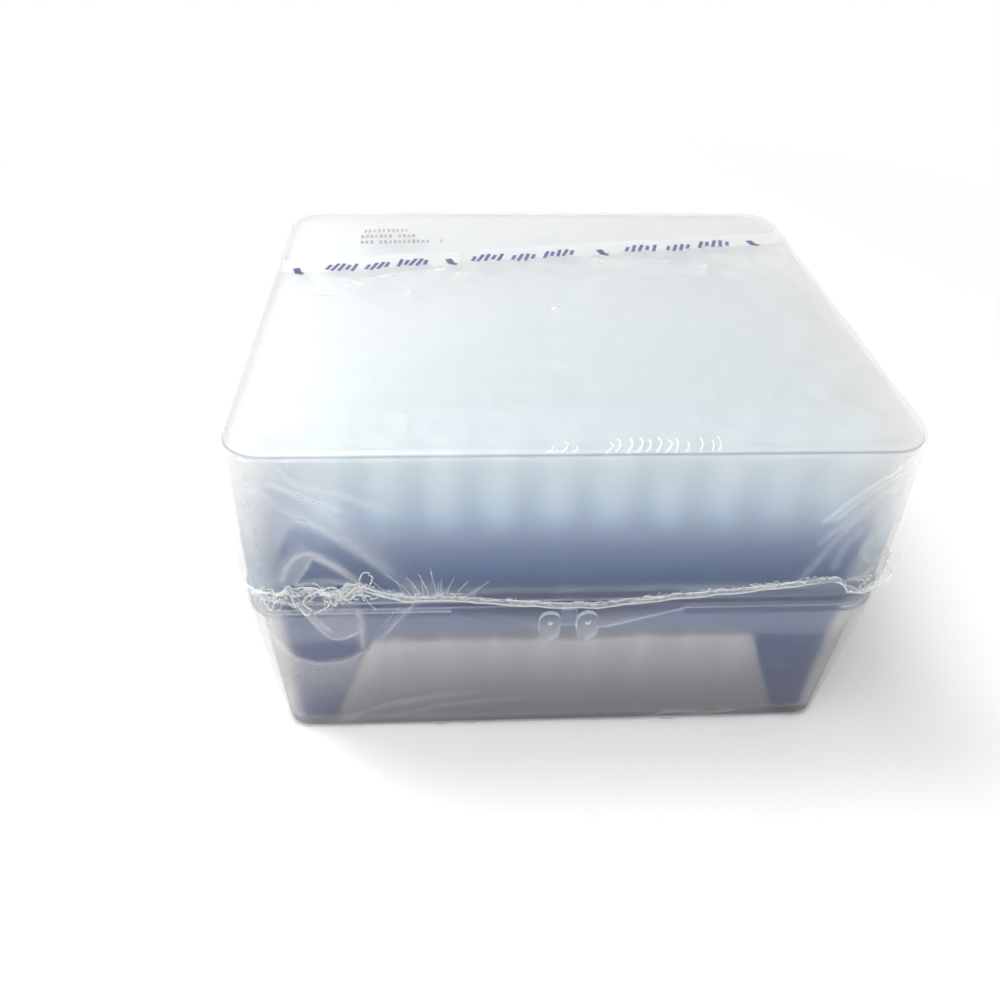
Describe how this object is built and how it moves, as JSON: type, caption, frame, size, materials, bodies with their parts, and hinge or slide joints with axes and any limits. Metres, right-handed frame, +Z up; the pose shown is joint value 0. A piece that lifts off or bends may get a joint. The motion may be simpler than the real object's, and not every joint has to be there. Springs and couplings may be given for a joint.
{
  "type": "pipette tip box",
  "caption": "Frosted hinged box with a blue rack full of long pipette tips, sealed shut in clear shrink film with a weld line and a tear strip.",
  "frame": {"origin": "middle of the underside, on the surface that the box stands on", "axes": "+Z up through the lid, +X to the right seen from the latch side, -Y towards the latch"},
  "size_m": [0.1354, 0.1202, 0.078],
  "materials": {
    "frosted_lid": "frosted translucent polypropylene",
    "frosted_base": "frosted translucent polypropylene",
    "blue_rack": "satin moulded polypropylene",
    "tip_plastic": "natural translucent polypropylene",
    "clear_film": "clear glossy shrink film",
    "tear_tape": "milky tape with printed marks"
  },
  "bodies": {
    "root": {"base": "frosted_base", "film": "clear_film", "film_underside": "clear_film", "lid": "frosted_lid", "rack": "blue_rack", "rack_row_02": "blue_rack", "rack_row_03": "blue_rack", "rack_row_04": "blue_rack", "rack_row_05": "blue_rack", "rack_row_06": "blue_rack", "rack_row_07": "blue_rack", "rack_row_08": "blue_rack", "rack_row_09": "blue_rack", "tear_strip": "tear_tape", "tip_01_01": "tip_plastic", "tip_01_02": "tip_plastic", "tip_01_03": "tip_plastic", "tip_01_04": "tip_plastic", "tip_01_05": "tip_plastic", "tip_01_06": "tip_plastic", "tip_01_07": "tip_plastic", "tip_01_08": "tip_plastic", "tip_01_09": "tip_plastic", "tip_01_10": "tip_plastic", "tip_02_01": "tip_plastic", "tip_02_10": "tip_plastic", "tip_03_01": "tip_plastic", "tip_03_10": "tip_plastic", "tip_04_01": "tip_plastic", "tip_04_10": "tip_plastic", "tip_05_01": "tip_plastic", "tip_05_10": "tip_plastic", "tip_06_01": "tip_plastic", "tip_06_10": "tip_plastic", "tip_07_01": "tip_plastic", "tip_07_10": "tip_plastic", "tip_08_01": "tip_plastic", "tip_08_10": "tip_plastic", "tip_09_01": "tip_plastic", "tip_09_10": "tip_plastic", "tip_10_01": "tip_plastic", "tip_10_02": "tip_plastic", "tip_10_03": "tip_plastic", "tip_10_04": "tip_plastic", "tip_10_05": "tip_plastic", "tip_10_06": "tip_plastic", "tip_10_07": "tip_plastic", "tip_10_08": "tip_plastic", "tip_10_09": "tip_plastic", "tip_10_10": "tip_plastic"}
  },
  "joints": []
}
